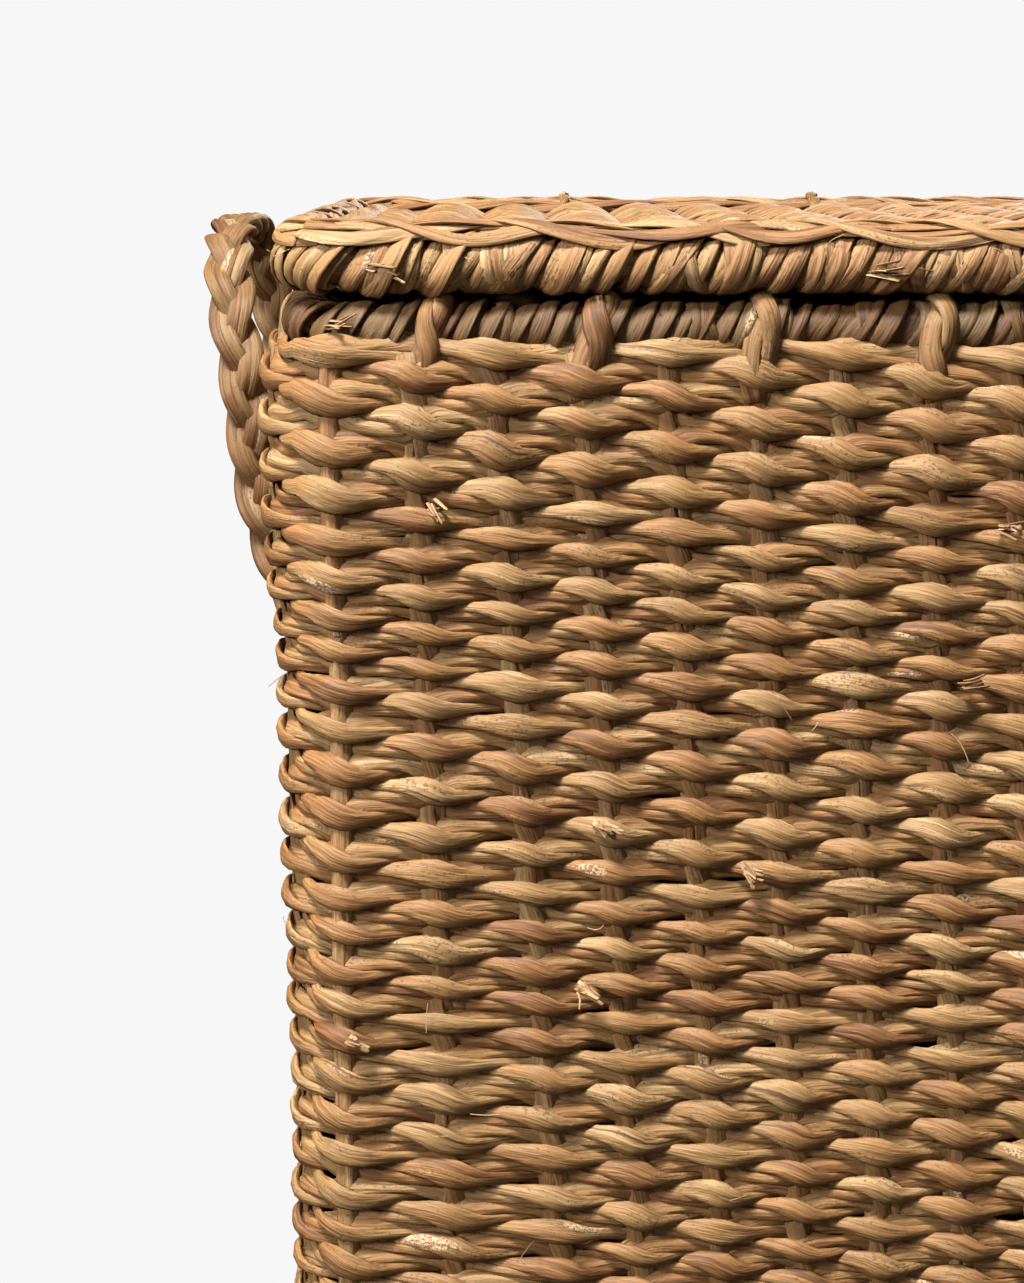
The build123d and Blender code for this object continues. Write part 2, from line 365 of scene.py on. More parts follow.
    def build(self, name, material, body, slot, *replaced):
        """Makes the mesh, hangs it on its body's empty and hides the CAD parts it replaces."""
        quads, fans = self.faces()
        mesh = bpy.data.meshes.new(name)
        points = np.concatenate(self.points)
        mesh.vertices.add(len(points))
        mesh.vertices.foreach_set("co", points.astype(np.float32).ravel())
        corners = np.concatenate([quads.ravel(), fans.ravel()])
        sizes = np.concatenate([np.full(len(quads), 4), np.full(len(fans), 3)])
        mesh.loops.add(len(corners))
        mesh.loops.foreach_set("vertex_index", corners.astype(np.int32))
        mesh.polygons.add(len(sizes))
        starts = np.concatenate([[0], np.cumsum(sizes)[:-1]])
        mesh.polygons.foreach_set("loop_start", starts.astype(np.int32))
        mesh.update(calc_edges=True)
        mesh.polygons.foreach_set("use_smooth", np.ones(len(sizes), bool))
        for label, values in (("leaf", self.leaf), ("tone", self.tone)):
            attribute = mesh.attributes.new(label, "FLOAT_VECTOR", "POINT")
            attribute.data.foreach_set("vector", np.concatenate(values).astype(np.float32).ravel())
        layer = mesh.uv_layers.new(name="OFBake")
        uv = np.concatenate(self.uv_corners())
        layer.uv.foreach_set("vector", uv.astype(np.float32).ravel())
        mesh.validate()
        mesh.materials.append(material)
        piece = add_object(name, mesh)
        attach(piece, body)
        if replaced:
            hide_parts(*replaced)
        return piece


def twist_cord(bundle, rng, centre, out, up, size=1.0, twist=None, turn=None,
               squeeze=1.0, flat=1.0, **looks):
    """Two leaf plies twisted round centre. out points away from the work and up across it.

    turn is the angle of the twist at each point; without it, one full turn takes the length twist.
    squeeze narrows the cord along up, where it is pressed between its neighbours, and flat along out.
    """
    along = arc_length(centre)
    if turn is None:
        turn = rng.uniform(0, TAU) + TAU * along / twist + wander(rng, along, 80 * MM, 0.7)
    squeeze = np.broadcast_to(squeeze, len(along))
    turn = turn - HURRY * np.sin(2 * turn)
    facing = np.sin(turn) ** 2
    for ply in (0.0, math.pi):
        angle = (turn + ply)[:, None]
        rise = (PLY_RISE * size * squeeze * (1 + wander(rng, along, 60 * MM, 0.16)))[:, None]
        middle = centre + up * np.cos(angle) * rise + out * np.sin(angle) * PLY_DEPTH * size * flat
        lean = TILT * np.cos(angle)
        wide = up * np.cos(lean) - out * np.sin(lean)
        half_wide = PLY_WIDE * size * squeeze * (1 + wander(rng, along, 45 * MM, 0.18))
        half_wide = half_wide * (1 + SPREAD * facing)
        half_thick = PLY_THICK * size * flat * (1 + wander(rng, along, 50 * MM, 0.15))
        half_thick = half_thick * (1 - 0.6 * SPREAD * facing)
        bundle.strand(rng, middle, wide, half_wide, half_thick, leaf_tones(rng, along), **looks)


# -------- wall


def row_heights():
    """Height and pitch of each row, from the rim down, packed tighter in some places."""
    rows = []
    drop = FIRST_ROW_DROP
    while WALL_HIGH_Z - drop > WALL_LOW_Z + 2.5 * MM:
        fade = math.exp(-((drop / 0.23) ** 2))
        swing = ROW_SWING * math.cos(TAU * (drop - 20 * MM) / (115 * MM)) * fade
        pitch = ROW_PITCH + swing
        rows.append((WALL_HIGH_Z - drop, pitch))
        drop += pitch
    return rows


def wall_wave(distance, z):
    """Shared unevenness of the wall: how far it bows outward and its rows ride up."""
    bow = 0.7 * np.sin(distance * 11.0 + z * 9.0) + 0.5 * np.sin(distance * 23.0 - z * 31.0)
    ride = 0.8 * np.sin(distance * 17.0 + z * 13.0) + 0.5 * np.sin(distance * 41.0 - z * 19.0)
    from_corner = np.minimum(distance, WALL.length - distance)
    from_middle = (RIM_Z - z) / BULGE_DROP - 1
    swell = BULGE * np.exp(-((from_corner / BULGE_SPREAD) ** 2)) * np.exp(-(from_middle**4))
    return bow * MM + swell, ride * MM


def weft_row(bundle, rng, z, pitch, parity):
    """One row of cord, over one stake and under the next all the way round."""
    places = stake_distances(z)
    hidden = [k for k in range(STAKE_COUNT) if (k + parity) % 2]
    start = places[rng.choice(hidden)]
    length = WALL.length + ROW_OVERLAP
    distance = np.linspace(start, start + length, int(length / RING_STEP))
    wrapped = np.mod(distance, WALL.length)
    flat, normal, _ = WALL.at(distance)
    stakes = stake_count_at(distance, z) + parity
    swing = np.cos(math.pi * stakes)
    depth = WEAVE_DEPTH * swing
    bow, ride = wall_wave(wrapped, z)
    depth = depth + bow + wander(rng, distance, 55 * MM, 0.45 * MM)
    height = z + ride + wander(rng, distance, 48 * MM, 0.75 * MM)
    centre = flat + normal * depth[:, None] + UP * height[:, None]
    squeeze = 0.62 + 0.48 * swing**2
    size = rng.uniform(0.95, 1.08) * pitch / ROW_PITCH
    crossings = rng.choice((2, 2, 2, 2, 1))
    turn = math.pi / 2 * (crossings * stakes + 1) + wander(rng, distance, 70 * MM, 0.45)
    twist_cord(bundle, rng, centre, normal, UP, size, turn=turn, squeeze=squeeze)


def wall_weft(material):
    rows = row_heights()
    band_tops = {name: top_z(f"{name}_wall_weft") for name in ("lower", "middle", "upper")}
    for first in range(0, len(rows), ROWS_IN_PIECE):
        rng = np.random.default_rng(100 + first)
        bundle = Bundle()
        chosen = rows[first:first + ROWS_IN_PIECE]
        for offset, (z, pitch) in enumerate(chosen):
            weft_row(bundle, rng, z, pitch, (first + offset) % 2)
        middle = sum(z for z, _ in chosen) / len(chosen)
        band = next(name for name, top in band_tops.items() if middle <= top)
        name = f"wall_weft_{first // ROWS_IN_PIECE + 1}"
        bundle.build(name, material, "basket", "seagrass_weft", f"{band}_wall_weft")


def stake_line(index, low_z, high_z, step=5 * MM):
    """Centre line of a stake or post between two heights, with the wall's outward and side axes."""
    height = np.linspace(low_z, high_z, int((high_z - low_z) / step) + 2)
    distance = np.array([stake_distances(z)[index] for z in height])
    flat, normal, tangent = WALL.at(distance)
    bow, _ = wall_wave(distance, height)
    return flat + normal * bow[:, None] + UP * height[:, None], normal, tangent


def wall_stakes(material):
    index = 0
    for side in SIDES:
        rng = np.random.default_rng(500 + index)
        bundle = Bundle()
        for offset in range(1, SIDE_GAPS[side]):
            centre, normal, tangent = stake_line(index + offset, WALL_LOW_Z, RIM_Z - RIM_WRAP_R)
            size = rng.uniform(0.88, 1.0)
            twist_cord(bundle, rng, centre, normal, tangent, size, STAKE_TWIST, flat=0.7, groove=0.45)
        name = f"stakes_{side}"
        bundle.build(name, material, "basket", "seagrass_stake", f"{side}_stakes")
        index += SIDE_GAPS[side]


def corner_posts(material):
    """Smooth leaf-covered rods at the corners."""
    post_r = 3.7 * MM
    rng = np.random.default_rng(900)
    bundle = Bundle()
    index = 0
    for side in SIDES:
        centre, normal, tangent = stake_line(index, WALL_LOW_Z, RIM_Z - RIM_WRAP_R)
        centre = centre + tangent * 0.3 * MM
        along = np.arange(len(centre)) * 5 * MM
        radius = post_r * (1 + wander(rng, along, 70 * MM, 0.06))
        tones = leaf_tones(rng, along)
        bundle.strand(rng, centre, tangent, radius, radius, tones, groove=0.1)
        index += SIDE_GAPS[side]
    bundle.build("posts", material, "basket", "leaf_wrap", "corner_posts")


# -------- wrapped borders


def wrap_ring(bundle, rng, track, z, core_r, pitch, half_wide, slant, half_thick):
    """Leaf wound round a bent rod, turn after turn, each turn lying over the last.

    slant is how far a turn leans along the rod, in shares of the winding's radius.
    """
    turns = int(track.length / pitch) + 1
    steps = 18
    count = turns * steps
    angle = np.linspace(0, TAU * turns, count)
    distance = track.length / 2 + np.linspace(0, track.length + pitch, count)
    lean = slant * (1 + wander(rng, distance, 1.6 * pitch, 0.7))
    radius = core_r + half_thick + wander(rng, distance, 0.9 * pitch, 1.0 * MM)
    shifted = distance + lean * radius * np.sin(angle) + wander(rng, distance, 0.8 * pitch, 0.18 * pitch)
    flat, normal, tangent = track.at(shifted)
    spoke = spokes(normal, angle)
    centre = flat + spoke * radius[:, None] + UP * z
    tilt = 0.3 + wander(rng, distance, 1.1 * pitch, 0.3)
    wide = tangent * np.cos(tilt)[:, None] + spoke * np.sin(tilt)[:, None]
    width = half_wide * (1 + wander(rng, distance, 1.5 * pitch, 0.3))
    tones = leaf_tones(rng, distance, 2.4 * pitch)
    bundle.strand(rng, centre, wide, width, half_thick, tones, groove=0.5)


def stuffing(bundle, rng, track, z, radius):
    """Leaves laid along the rod under the winding, which fill the gaps between its turns."""
    distance = np.linspace(0, track.length, int(track.length / (5 * MM)))
    flat, _, _ = track.at(distance)
    bundle.strand(rng, flat + UP * z, UP, radius, radius, 0.15, groove=0.3)


def stray_wraps(bundle, rng, track, z, radius, count, slant, half_wide):
    """Separate turns of leaf laid over the winding at odd slants."""
    for place in np.sort(rng.uniform(0, track.length, count)):
        angle = np.linspace(0, TAU * 1.04, 20)
        lean = slant * rng.choice([-1, 1]) * rng.uniform(0.5, 1.3)
        distance = place + lean * radius * np.sin(angle)
        flat, normal, tangent = track.at(distance)
        spoke = spokes(normal, angle + 2.2)
        lift = 1.6 * MM + wander(rng, angle, 1.0, 0.4 * MM)
        centre = flat + spoke * (radius + lift)[:, None] + UP * z
        width = half_wide * rng.uniform(0.6, 1.0) * (1 + wander(rng, angle, 1.2, 0.15))
        bundle.strand(rng, centre, tangent, width, 0.9 * MM, rng.uniform(0, 1), groove=0.4)


def rim_winding(material):
    rng = np.random.default_rng(1200)
    bundle = Bundle()
    core = RIM_WRAP_R - 2.6 * MM
    stuffing(bundle, rng, RING, RIM_Z, core)
    wrap_ring(bundle, rng, RING, RIM_Z, core, 7.0 * MM, 3.8 * MM, 0.35, 1.3 * MM)
    stray_wraps(bundle, rng, RING, RIM_Z, core + 0.3 * MM, 110, 0.6, 3.4 * MM)
    bundle.build("rim_winding", material, "basket", "leaf_wrap", "rim_wrap")


def binding_path(distance, reach):
    """From the wall up over the rim and down inside, leaning along the rim by reach."""
    flat, normal, tangent = WALL.at(distance)
    inset = WALL_X - RING_X
    bend_r = RIM_WRAP_R + 1.2 * MM
    rise = np.linspace(0, 1, 12)[:, None]
    foot = flat + normal * 1.0 * MM + UP * (RIM_Z - RIM_WRAP_R - 14 * MM)
    side_on = flat + normal * (bend_r - inset) + UP * RIM_Z
    climb = foot + (side_on - foot) * rise + normal * 1.5 * MM * np.sin(math.pi * rise)
    angle = np.linspace(0, math.radians(200), 18)[1:, None]
    spoke = normal * np.cos(angle) + UP * np.sin(angle)
    over = flat - normal * inset + UP * RIM_Z + spoke * bend_r
    centre = np.concatenate([climb, over])
    share = np.linspace(0, 1, len(centre))
    centre = centre + tangent * (reach * np.sin(math.pi * share * 0.6))[:, None]
    out = np.concatenate([normal + 0 * climb, spoke])
    return centre, out, tangent + 0 * centre


def rim_stake_bindings(material):
    """Every second stake's pair of plies, carried over the rim."""
    rng = np.random.default_rng(1300)
    bundle = Bundle()
    places = stake_distances(RIM_Z)
    index = 0
    for side in SIDES:
        for offset in range(1, SIDE_GAPS[side], 2):
            reach = rng.uniform(3.0, 9.0) * MM
            centre, out, across = binding_path(places[index + offset], reach)
            size = rng.uniform(0.88, 1.0)
            twist_cord(bundle, rng, centre, out, across, size, 46 * MM, groove=0.5)
        index += SIDE_GAPS[side]
    bundle.build("rim_stake_ends", material, "basket", "seagrass_stake", "rim_bindings")


def foot_winding(material):
    rng = np.random.default_rng(1400)
    bundle = Bundle()
    core = BASE_WRAP_R - 5.1 * MM
    stuffing(bundle, rng, RING, BASE_Z, core)
    wrap_ring(bundle, rng, RING, BASE_Z, core, 6.6 * MM, 3.7 * MM, 0.35, 1.1 * MM)
    bundle.build("foot_winding", material, "basket", "leaf_wrap", "base_border")


# -------- flat woven panels


def rib_places():
    """X of each rib of a panel, as the part spaces them."""
    pitch = 26.4 * MM
    count = int((RING_X - RING_R) // pitch)
    return (np.arange(-count, count) + 0.5) * pitch


def panel_rows(bundle, rng, z, depth, reach_x, reach_y, size, tuck=0.0):
    """Rows of cord along X, over and under the ribs, whose ends dip by tuck at the border."""
    pitch = 6.6 * MM
    rows = int(2 * reach_y / pitch)
    ribs = rib_places()
    for row in range(rows):
        y = (row + 0.5 - rows / 2) * 2 * reach_y / rows
        corner = max(0.0, abs(y) - (reach_y - 10 * MM))
        limit = reach_x - corner * 0.6
        x = np.linspace(-limit, limit, int(2 * limit / PANEL_STEP))
        count = np.interp(x, ribs, np.arange(len(ribs)))
        pitch_x = ribs[1] - ribs[0]
        count = np.where(x < ribs[0], (x - ribs[0]) / pitch_x, count)
        count = np.where(x > ribs[-1], len(ribs) - 1 + (x - ribs[-1]) / pitch_x, count)
        swing = np.cos(math.pi * (count + row))
        ends = np.clip((limit - np.abs(x)) / (25 * MM), 0, 1)
        lift = depth * swing * (0.35 + 0.65 * ends) + wander(rng, x, 50 * MM, 0.4 * MM)
        lift = lift - tuck * (1 - ends) ** 2
        sway = y + wander(rng, x, 45 * MM, 0.7 * MM)
        centre = np.stack([x, sway, z + lift], axis=-1)
        up = np.array([0.0, 1.0, 0.0])
        turn = math.pi * (count + row + 0.5) + wander(rng, x, 70 * MM, 0.5)
        twist_cord(bundle, rng, centre, UP, up, size * rng.uniform(0.95, 1.06), turn=turn)


def panel_ribs(bundle, rng, z, reach_y, size):
    for x in rib_places():
        y = np.linspace(-reach_y, reach_y, int(2 * reach_y / (5 * MM)))
        centre = np.stack([x + wander(rng, y, 60 * MM, 0.8 * MM), y, np.full(len(y), z)], axis=-1)
        side = np.array([1.0, 0.0, 0.0])
        twist_cord(bundle, rng, centre, UP, side, size, STAKE_TWIST, groove=0.45)


def base_panel(weft_material, stake_material):
    rng = np.random.default_rng(1500)
    z = 6.0 * MM
    weft = Bundle()
    panel_rows(weft, rng, z, 2.9 * MM, RING_X - 5 * MM, RING_Y - 9 * MM, 0.92)
    weft.build("base_rows", weft_material, "basket", "seagrass_weft", "base_weft")
    ribs = Bundle()
    panel_ribs(ribs, rng, z, RING_Y - 5 * MM, 0.7)
    ribs.build("base_rib_strands", stake_material, "basket", "seagrass_stake", "base_ribs")


def lid_panel(weft_material, stake_material):
    rng = np.random.default_rng(1600)
    weft = Bundle()
    panel_rows(weft, rng, LID_Z + LID_RAISE, 4.0 * MM, RING_X - MM, RING_Y - 9 * MM, 1.0, 2 * MM)
    weft.build("lid_rows", weft_material, "lid", "seagrass_weft", "lid_weft")
    ribs = Bundle()
    panel_ribs(ribs, rng, LID_Z + LID_RAISE, RING_Y - 5 * MM, 0.85)
    ribs.build("lid_rib_strands", stake_material, "lid", "seagrass_stake", "lid_ribs")
    lid_inner_cord(weft_material)


def lid_inner_cord(material):
    """A cord laid over the row ends, just inside the lid's edge."""
    rng = np.random.default_rng(1650)
    inset = 7.0 * MM
    track = Track(RING_X - inset, RING_Y - inset, RING_R - inset)
    distance = np.linspace(0, track.length, int(track.length / PANEL_STEP))
    flat, normal, _ = track.at(distance)
    lift = LID_RAISE + 4.5 * MM + wander(rng, distance, 60 * MM, 0.6 * MM)
    centre = flat + UP * (LID_Z + lift)[:, None]
    bundle = Bundle()
    twist_cord(bundle, rng, centre, UP, normal, 0.95, 80 * MM)
    bundle.build("lid_inner_cord", material, "lid", "seagrass_weft")


# -------- lid edge


def lid_winding(material):
    rng = np.random.default_rng(1700)
    bundle = Bundle()
    core = LID_WRAP_R - 3.7 * MM
    stuffing(bundle, rng, LID_RING, LID_Z, core + 0.8 * MM)
    wrap_ring(bundle, rng, LID_RING, LID_Z, core, 6.4 * MM, 3.5 * MM, 0.4, 1.6 * MM)
    wrap_ring(bundle, rng, LID_RING, LID_Z, core + 1.9 * MM, 17.0 * MM, 3.2 * MM, 0.25, 1.2 * MM)
    stray_wraps(bundle, rng, LID_RING, LID_Z, core + 1.4 * MM, 120, 0.55, 3.3 * MM)
    bundle.build("lid_winding", material, "lid", "leaf_wrap", "lid_edge_wrap")


def lid_long_strands(material):
    """Three long cords that cross over one another along the lid's upper outer edge."""
    rng = np.random.default_rng(1800)
    bundle = Bundle()
    count = int(RING.length / (4 * MM))
    distance = np.linspace(0, LID_RING.length, count)
    flat, normal, _ = LID_RING.at(distance)
    for strand in range(3):
        phase = TAU * (distance / (128 * MM) + strand / 3) + wander(rng, distance, 90 * MM, 0.6)
        lie = math.radians(80) + math.radians(30) * np.sin(phase)
        radius = LID_WRAP_R + 1.7 * MM + 1.0 * MM * np.cos(2 * phase)
        spoke = spokes(normal, lie)
        across = spokes(normal, lie + math.pi / 2)
        centre = flat + spoke * radius[:, None] + UP * LID_Z
        twist_cord(bundle, rng, centre, spoke, across, 0.66, 90 * MM, flat=0.9, groove=0.4)
    bundle.build("lid_edge_strands", material, "lid", "leaf_wrap", "lid_border_strands")


# -------- handles


def handle_path(side):
    """Centre line of a handle, and the axis across its loop, from foot to foot through the wall."""
    sign = -1 if side == "left" else 1
    knot_low, knot_high = node_box(f"{side}_handle_knots")
    strand_low, strand_high = node_box(f"{side}_handle_strand_a")
    foot_z = middle_z(f"{side}_handle_knots")
    middle_y = (knot_low[1] + knot_high[1]) / 2
    half = (strand_high[1] - strand_low[1]) / 2 - 4.2 * MM
    top = strand_high[2] - 1.5 * MM
    out_low = WALL_X + 7 * MM
    out_top = max(abs(strand_low[0]), abs(strand_high[0])) - 11.0 * MM
    corner = 46 * MM
    outline = [(WALL_X - 8 * MM, half, foot_z - 1 * MM), (WALL_X + 1 * MM, half, foot_z + 6 * MM)]
    for rise, lean in ((20, 0.0), (35, 0.26), (52, 0.48), (70, 0.58), (85, 0.64)):
        x = out_low + (out_top - out_low) * lean
        outline.append((x, half, foot_z + rise * MM))
    for angle in np.radians((0, 22, 45, 68, 90)):
        y = half - corner + corner * math.cos(angle)
        z = top - corner + corner * math.sin(angle)
        x = out_top - 7.0 * MM * (1 - math.sin(angle)) ** 1.5
        outline.append((x, y, z))
    half_points = np.array(outline)
    mirrored = half_points[::-1] * np.array([1, -1, 1])
    points = np.concatenate([half_points, mirrored])
    points = points * np.array([sign, 1, 1]) + np.array([0, middle_y, 0])
    return resample(points, 3.0 * MM), sign


def resample(points, step):
    """A smooth line through points, at even spacing."""
    curve = bpy.data.curves.new("line", "CURVE")
    curve.dimensions = "3D"
    spline = curve.splines.new("NURBS")
    spline.points.add(len(points) - 1)
    for control, place in zip(spline.points, points):
        control.co = (*place, 1.0)
    spline.order_u = 4
    spline.use_endpoint_u = True
    spline.resolution_u = 12
    holder = bpy.data.objects.new("line", curve)
    mesh = bpy.data.meshes.new_from_object(holder)
    line = np.zeros(len(mesh.vertices) * 3)
    mesh.vertices.foreach_get("co", line)
    line = line.reshape(-1, 3)
    bpy.data.objects.remove(holder)
    bpy.data.meshes.remove(mesh)
    bpy.data.curves.remove(curve)
    along = arc_length(line)
    even = np.linspace(0, along[-1], int(along[-1] / step))
    return np.stack([np.interp(even, along, line[:, axis]) for axis in range(3)], axis=-1)


def plait(material, side):
    """Three strands of leaf plaited flat along the handle's line, one piece for each strand."""
    line, sign = handle_path(side)
    along = arc_length(line)
    tangent = unit(np.gradient(line, axis=0))
    outward = np.array([float(sign), 0.0, 0.0])
    inward = unit(np.cross(tangent, outward))
    lateral = np.cross(inward, tangent)
    period = 60 * MM
    for strand, letter in enumerate("abc"):
        rng = np.random.default_rng(2000 + 10 * strand + (sign > 0))
        bundle = Bundle()
        phase = TAU * (along / period + strand / 3)
        swing = 4.5 * MM * np.sin(phase)
        depth = 2.3 * MM * np.sin(2 * phase)
        centre = line + lateral * swing[:, None] + inward * depth[:, None]
        fine = resample(centre, 2.2 * MM)
        share = np.linspace(0, 1, len(fine))
        axis = np.stack([np.interp(share, along / along[-1], lateral[:, k]) for k in range(3)], -1)
        for leaf in (-1, 1):
            shift = axis * (leaf * 1.5 * MM)
            length = share * along[-1]
            width = 2.9 * MM * (1 + wander(rng, length, 20 * MM, 0.16))
            thick = 1.7 * MM * (1 + wander(rng, length, 20 * MM, 0.16))
            tones = leaf_tones(rng, length, 160 * MM)
            bundle.strand(rng, fine + shift, axis, width, thick, tones, groove=0.5)
        name = f"plait_{side}_{letter}"
        node = f"{side}_handle_strand_{letter}"
        bundle.build(name, material, "basket", "seagrass_plait", node)


def handle_knots(material, side):
    """Inside the wall each leg's tails are tied in a knot."""
    sign = -1 if side == "left" else 1
    low, high = node_box(f"{side}_handle_knots")
    z = middle_z(f"{side}_handle_knots")
    inner_x = (WALL_X - WALL_THICK / 2 - 3.5 * MM) * sign
    rng = np.random.default_rng(2100 + (sign > 0))
    bundle = Bundle()
    for y in (low[1] + 10.5 * MM, high[1] - 10.5 * MM):
        turn = np.linspace(0, TAU, 90)
        reach = 2.0 + np.cos(3 * turn)
        knot = np.stack(
            [np.sin(3 * turn) * 2.2 * MM, reach * np.cos(2 * turn) * 2.9 * MM,
             reach * np.sin(2 * turn) * 2.9 * MM], axis=-1)
        centre = knot + np.array([inner_x, y, z])
        width = 2.4 * MM * (1 + wander(rng, turn, 0.8, 0.12))
        bundle.strand(rng, centre, UP, width, width * 0.85, rng.uniform(0, 1), groove=0.4)
        for tail in range(3):
            drop = np.linspace(0, 1, 9)
            lean = rng.uniform(-0.5, 0.5)
            x = inner_x - sign * (1.5 * MM + 1.5 * MM * drop)
            tail_line = np.stack([x, y + lean * 14 * MM * drop, z - 16 * MM * drop], axis=-1)
            bundle.strand(rng, tail_line, np.array([0, 1.0, 0]), 1.7 * MM, 0.8 * MM, groove=0.4)
    bundle.build(f"knots_{side}", material, "basket", "seagrass_plait", f"{side}_handle_knots")


# -------- hinge loops


def hinge_loop(material, place):
    """A ring of thin twisted cord round the rim's rear rod and the lid's rear edge."""
    low, high = node_box(f"{place}_hinge_loop")
    rng = np.random.default_rng(2200 + len(place))
    cord_r = (high[0] - low[0]) / 2
    x = (low[0] + high[0]) / 2
    y = (low[1] + high[1]) / 2
    radius = (high[1] - low[1]) / 2 - cord_r
    low_z = low[2] + cord_r + radius
    high_z = high[2] - cord_r - radius
    arc = np.linspace(0, math.pi, 24)
    upper = np.stack([y + radius * np.cos(arc), high_z + LOOP_CROWN * radius * np.sin(arc)], axis=-1)
    lower = np.stack([y - radius * np.cos(arc), low_z - radius * np.sin(arc)], axis=-1)
    outline = np.concatenate([upper, lower, upper[:2]])
    centre = np.stack([np.full(len(outline), x), outline[:, 0], outline[:, 1]], axis=-1)
    middle = np.array([x, y, (low_z + high_z) / 2])
    out = unit(centre - middle)
    bundle = Bundle()
    side = np.array([1.0, 0.0, 0.0])
    twist_cord(bundle, rng, centre, out, side, size=0.42, twist=16 * MM, groove=0.3)
    bundle.build(f"{place}_loop", material, "hinge_loops", "seagrass_cord", f"{place}_hinge_loop")


# -------- cut ends and loose fibres

WALL_ENDS = ((-119, 402), (-73, 388), (-198, 330), (-7, 446), (2, 496), (-171, 503), (-125, 348),
             (60, 470), (120, 380), (160, 300), (40, 250), (-60, 190), (100, 130), (-150, 90))
RIM_ENDS = ((-200, 557), (30, 558), (150, 557))
LID_ENDS = ((-189, 575), (-40, 573), (110, 576))


def cut_end(bundle, rng, root, out, size=1.0):
    """The stub of a leaf cord: a short splayed tuft of stiff strips."""
    side = unit(np.cross(UP, out))
    aim = out * 0.5 + side * rng.uniform(0.4, 1.0) + UP * rng.uniform(-0.7, 0.3)
    for _ in range(7):
        way = unit(aim + rng.normal(0, 0.16, 3))
        length = rng.uniform(4, 8) * MM * size
        share = np.linspace(0, 1, 7)[:, None]
        curl = rng.normal(0, 1.2, 3) * MM * share**2
        line = root + rng.normal(0, 0.9, 3) * MM + way * length * share + curl
        width = rng.uniform(0.5, 1.3) * MM * size * (1 - 0.35 * share[:, 0])
        tone = rng.uniform(0.2, 0.9)
        bundle.strand(rng, line, side, width, 0.3 * MM, tone, groove=0.5, pale=0.12)


def loose_fibre(bundle, rng, root, out, side):
    way = unit(out * rng.uniform(0.3, 0.9) + side * rng.normal(0, 0.8) + UP * rng.normal(0, 0.5))
    share = np.linspace(0, 1, 9)[:, None]
    bend = rng.normal(0, 2.5, 3) * MM * share**2
    line = root + way * rng.uniform(4, 11) * MM * share + bend
    bundle.strand(rng, line, UP + 0.2 * side, 0.16 * MM, 0.12 * MM, groove=0.0, pale=0.2)


def wall_ends(material):
    rng = np.random.default_rng(2400)
    bundle = Bundle()
    out = np.array([0.0, -1.0, 0.0])
    for x, z in WALL_ENDS:
        cut_end(bundle, rng, np.array([x * MM, -WALL_Y - 5.5 * MM, z * MM]), out)
    for x, z in RIM_ENDS:
        cut_end(bundle, rng, np.array([x * MM, -RING_Y - 7.0 * MM, z * MM]), out)
    for distance in rng.uniform(WALL.side_starts()[1], WALL.length, 18):
        place, normal, _ = WALL.at(distance)
        cut_end(bundle, rng, place + normal * 5.5 * MM + UP * rng.uniform(0.05, 0.53), normal)
    for distance in rng.uniform(0, WALL.length, 170):
        place, normal, tangent = WALL.at(distance)
        root = place + normal * 6.0 * MM + UP * rng.uniform(0.03, 0.54)
        loose_fibre(bundle, rng, root, normal, tangent)
    bundle.build("wall_cut_ends", material, "basket", "seagrass_weft")


def lid_ends(material):
    rng = np.random.default_rng(2500)
    bundle = Bundle()
    out = np.array([0.0, -1.0, 0.0])
    for x, z in LID_ENDS:
        cut_end(bundle, rng, np.array([x * MM, -RING_Y - 8.5 * MM, z * MM]), out, 1.5)
    for distance in rng.uniform(0, RING.length, 60):
        place, normal, tangent = RING.at(distance)
        root = place + normal * LID_WRAP_R + UP * (LID_Z + rng.uniform(-6, 6) * MM)
        loose_fibre(bundle, rng, root, normal, tangent)
    bundle.build("lid_cut_ends", material, "lid", "leaf_wrap")


# -------- materials


